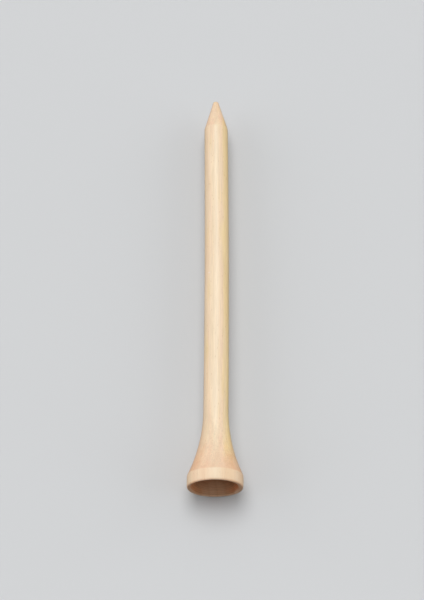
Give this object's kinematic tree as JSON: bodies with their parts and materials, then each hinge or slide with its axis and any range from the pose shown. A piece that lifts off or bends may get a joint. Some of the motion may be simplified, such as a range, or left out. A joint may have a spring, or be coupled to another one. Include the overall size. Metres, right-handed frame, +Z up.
{
  "type": "golf tee",
  "caption": "Turned wooden golf tee: shallow ball cup with a thin lip, flared head, straight round shank and blunt conical point.",
  "frame": {"origin": "on the turning axis, at the middle of the tee's length", "axes": "+Y along the turning axis from the cup to the point, +Z up with the tee lying on its side; the cup's mouth is at y = -41.5 mm, facing -Y"},
  "size_m": [0.0104, 0.083, 0.0104],
  "materials": {
    "birch": "satin"
  },
  "bodies": {
    "root": {"tee": "birch"}
  },
  "joints": []
}
